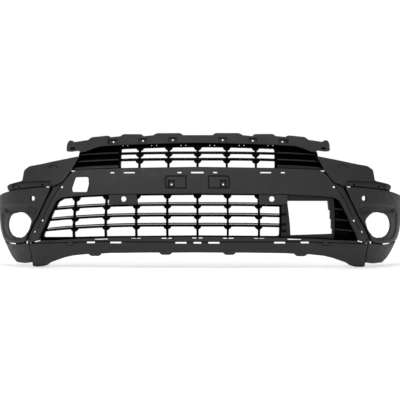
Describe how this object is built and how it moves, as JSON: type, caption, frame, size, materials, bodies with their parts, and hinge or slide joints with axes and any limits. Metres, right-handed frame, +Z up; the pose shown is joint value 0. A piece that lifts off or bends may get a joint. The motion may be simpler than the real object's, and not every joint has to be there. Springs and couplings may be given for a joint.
{
  "type": "bumper cover",
  "caption": "Front bumper cover of a car in dark moulded plastic, with an open grille above and below, fog lamp openings, headlamp wings and a lower valance.",
  "frame": {"origin": "centre of the cover across the car, half-way between the nose and the wheel-arch edges, at the height of the lowest edge", "axes": "+X across the car, to the right when looking at its front; the nose points along -Y; +Z up"},
  "size_m": [1.8214, 0.602, 0.558],
  "materials": {
    "cover_plastic": "unpainted fine-grained polypropylene, satin",
    "grille_plastic": "black moulded plastic, slight sheen",
    "bracket_plastic": "black structural plastic, as moulded",
    "clip_plastic": "black nylon"
  },
  "bodies": {
    "cover": {"centre_band": "cover_plastic", "wing_left": "cover_plastic", "wing_right": "cover_plastic", "fog_bezel_left": "cover_plastic", "fog_bezel_right": "cover_plastic", "lower_valance": "cover_plastic", "valance_corner_left": "cover_plastic", "valance_corner_right": "cover_plastic", "top_rail": "cover_plastic", "lower_grille": "grille_plastic", "upper_grille": "grille_plastic", "upper_louvre_left": "grille_plastic", "upper_louvre_right": "grille_plastic", "lower_louvre": "grille_plastic", "radar_frame": "grille_plastic", "sensor_plate_left": "cover_plastic", "sensor_plate_right": "cover_plastic", "sensor_holder_inner_left": "bracket_plastic", "sensor_holder_inner_right": "bracket_plastic", "sensor_holder_outer_left": "bracket_plastic", "sensor_holder_outer_right": "bracket_plastic", "pillar_bracket_left": "bracket_plastic", "pillar_bracket_right": "bracket_plastic", "headlamp_bracket_left": "bracket_plastic", "headlamp_bracket_right": "bracket_plastic", "valance_joiner_left": "bracket_plastic", "valance_joiner_right": "bracket_plastic", "retainer_left": "clip_plastic", "retainer_right": "clip_plastic"},
    "pin_left": {"retainer_pin_left": "clip_plastic"},
    "pin_right": {"retainer_pin_right": "clip_plastic"}
  },
  "joints": [
    {"name": "retainer_pin_left_slide", "type": "slide", "parent": "cover", "child": "pin_left", "axis": [-0.1985, -0.9327, -0.3011], "range_m": [0, 0.006]},
    {"name": "retainer_pin_right_slide", "type": "slide", "parent": "cover", "child": "pin_right", "axis": [0.1985, -0.9327, -0.3011], "range_m": [0, 0.006]}
  ]
}
